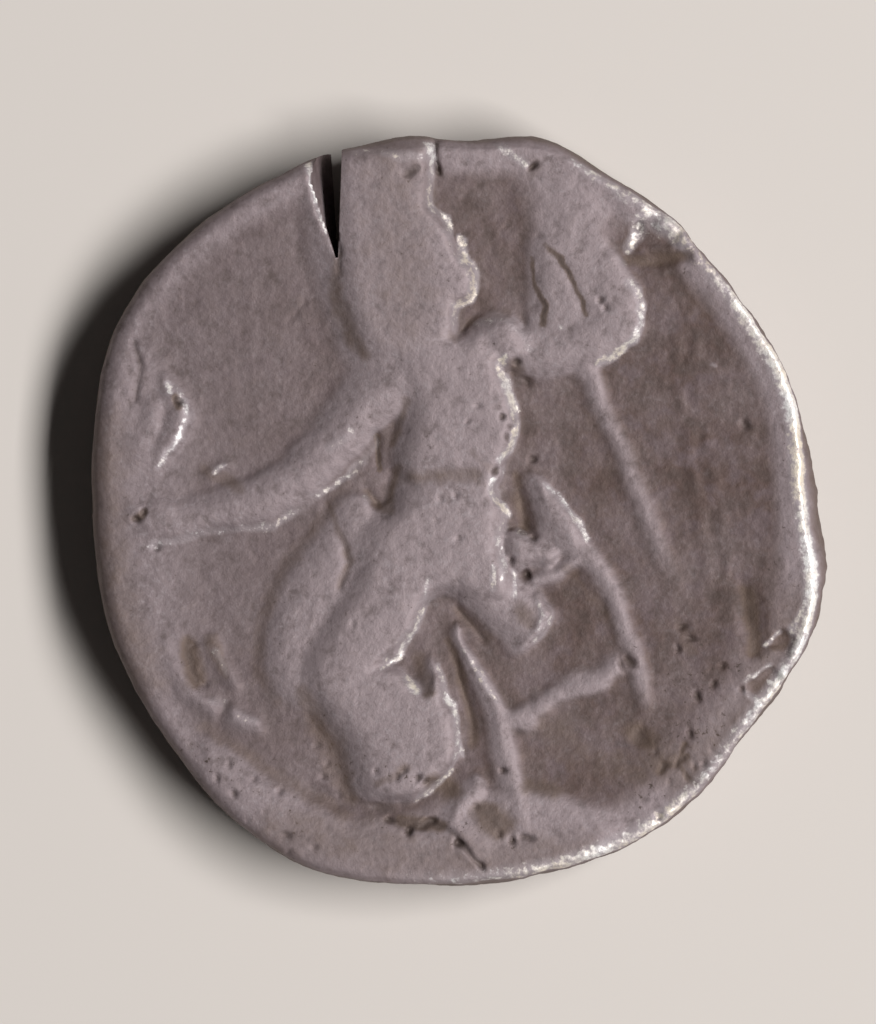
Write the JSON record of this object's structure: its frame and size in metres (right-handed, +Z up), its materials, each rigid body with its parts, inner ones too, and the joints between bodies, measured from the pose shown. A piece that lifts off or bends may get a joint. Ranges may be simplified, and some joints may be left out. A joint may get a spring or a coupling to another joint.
{
  "type": "drachm coin",
  "caption": "Struck silver coin on an irregular round flan, with a worn relief of a seated figure on a throne above and a worn head below.",
  "frame": {"origin": "under the middle of the coin, on the plane of the flat worn on its lower face", "axes": "+Z up out of the seated figure's face, +Y towards the figure's head, +X towards its back"},
  "size_m": [0.0171, 0.0175, 0.0025],
  "materials": {
    "silver": "old struck silver, toned grey and worn, duller and browner in the recesses"
  },
  "bodies": {
    "root": {"coin": "silver"}
  },
  "joints": []
}
